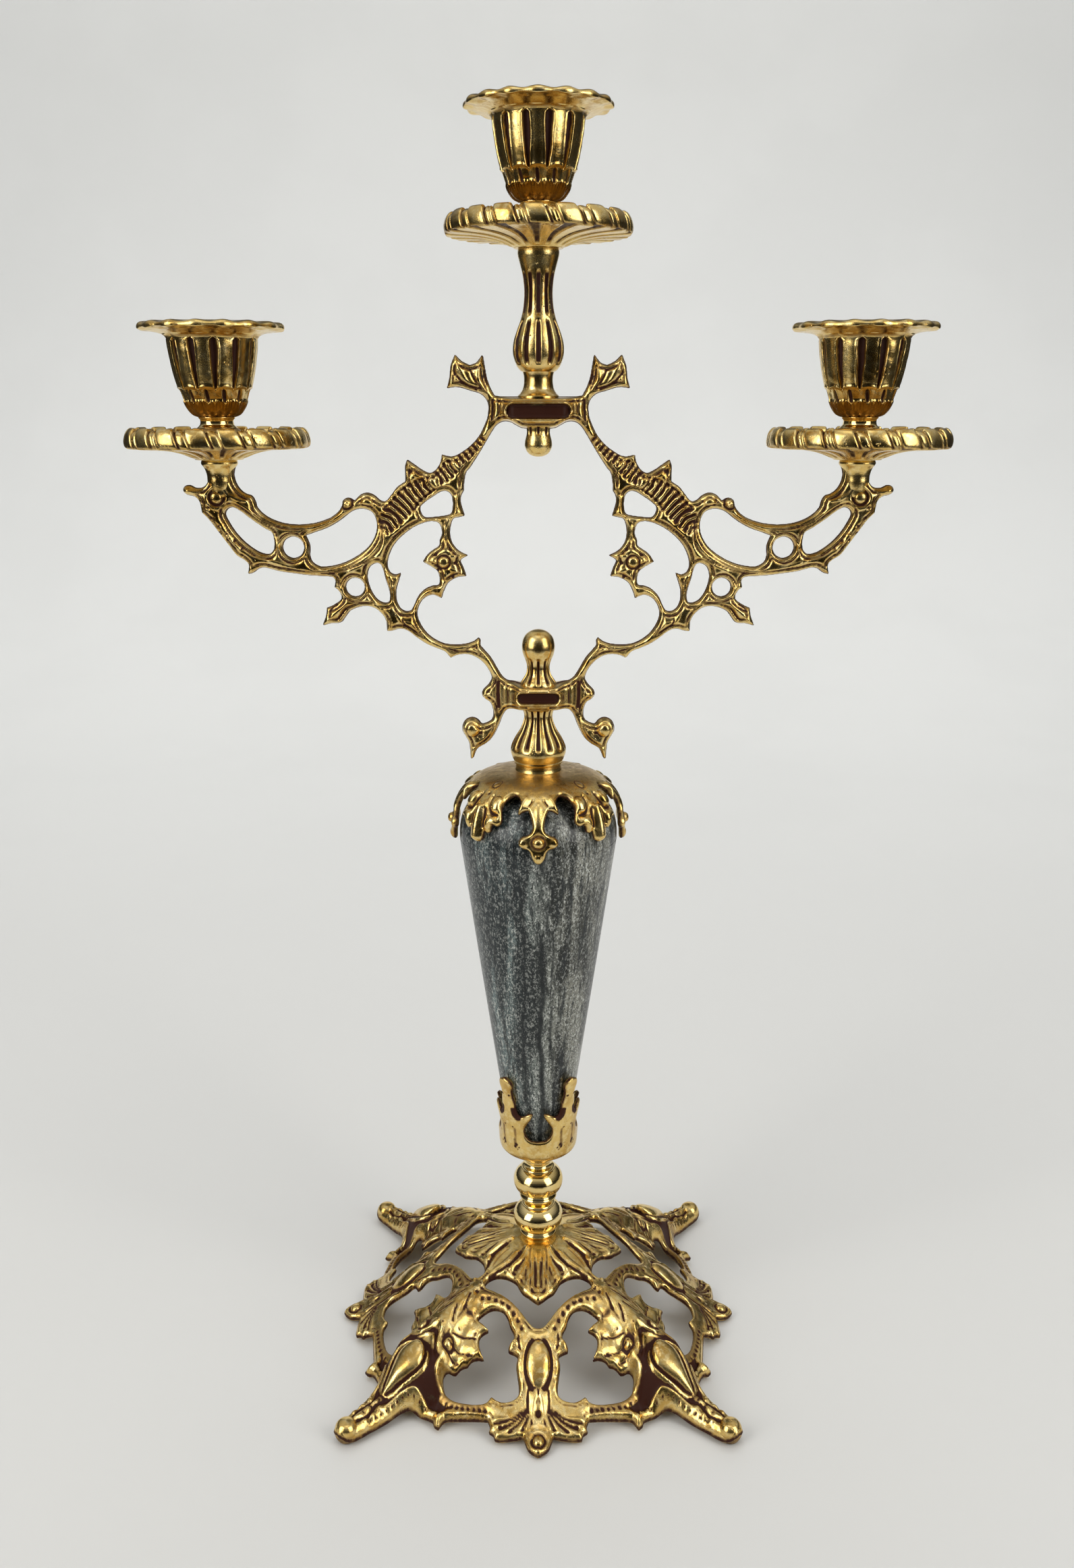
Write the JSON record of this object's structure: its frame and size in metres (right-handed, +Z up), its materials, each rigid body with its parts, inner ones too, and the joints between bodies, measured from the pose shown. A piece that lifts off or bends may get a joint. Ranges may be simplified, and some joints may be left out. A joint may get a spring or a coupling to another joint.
{
  "type": "tabletop candelabra",
  "caption": "Tabletop candelabra: openwork footed base, tapered stone stem and a scrolled branch carrying screw-on candle cups over drip pans.",
  "frame": {"origin": "on the table plane, on the vertical axis of the stem", "axes": "+Z up, +X along the branch towards its right socket, -Y towards the front"},
  "size_m": [0.2416, 0.137, 0.3907],
  "materials": {
    "cast_brass": "polished, with dark brown lacquer left in the recesses",
    "turned_brass": "bright polished",
    "marble": "polished, green-grey with darker grain",
    "steel_hardware": "plain"
  },
  "bodies": {
    "stand": {"base_casting": "cast_brass", "base_washer": "steel_hardware", "base_nut": "steel_hardware", "tie_rod": "steel_hardware", "lower_knob": "turned_brass", "upper_knob": "turned_brass", "calyx_cup": "cast_brass", "marble_stem": "marble", "crown_cap": "cast_brass", "branch_casting": "cast_brass", "drip_pan_left": "cast_brass", "drip_pan_centre": "cast_brass", "drip_pan_right": "cast_brass"},
    "collar_left": {"neck_collar_left": "turned_brass"},
    "collar_centre": {"neck_collar_centre": "turned_brass"},
    "collar_right": {"neck_collar_right": "turned_brass"},
    "cup_left": {"candle_cup_left": "cast_brass", "cup_screw_left": "steel_hardware"},
    "cup_centre": {"candle_cup_centre": "cast_brass", "cup_screw_centre": "steel_hardware"},
    "cup_right": {"candle_cup_right": "cast_brass", "cup_screw_right": "steel_hardware"}
  },
  "joints": [
    {"name": "cup_lift_left", "type": "slide", "parent": "stand", "child": "collar_left", "axis": [0, 0, 1], "range_m": [0, 0.0084]},
    {"name": "cup_turn_left", "type": "hinge", "parent": "collar_left", "child": "cup_left", "pos_m": [-0.094, 0, 0.294], "axis": [0, 0, 1], "range_deg": [0, 4320]},
    {"name": "cup_lift_centre", "type": "slide", "parent": "stand", "child": "collar_centre", "axis": [0, 0, 1], "range_m": [0, 0.0084]},
    {"name": "cup_turn_centre", "type": "hinge", "parent": "collar_centre", "child": "cup_centre", "pos_m": [0, 0, 0.3522], "axis": [0, 0, 1], "range_deg": [0, 4320]},
    {"name": "cup_lift_right", "type": "slide", "parent": "stand", "child": "collar_right", "axis": [0, 0, 1], "range_m": [0, 0.0084]},
    {"name": "cup_turn_right", "type": "hinge", "parent": "collar_right", "child": "cup_right", "pos_m": [0.094, 0, 0.294], "axis": [0, 0, 1], "range_deg": [0, 4320]}
  ],
  "couplings": [
    {"joint": "cup_lift_left", "follows": "cup_turn_left", "m_per_rad": 0.0001114},
    {"joint": "cup_lift_centre", "follows": "cup_turn_centre", "m_per_rad": 0.0001114},
    {"joint": "cup_lift_right", "follows": "cup_turn_right", "m_per_rad": 0.0001114}
  ]
}
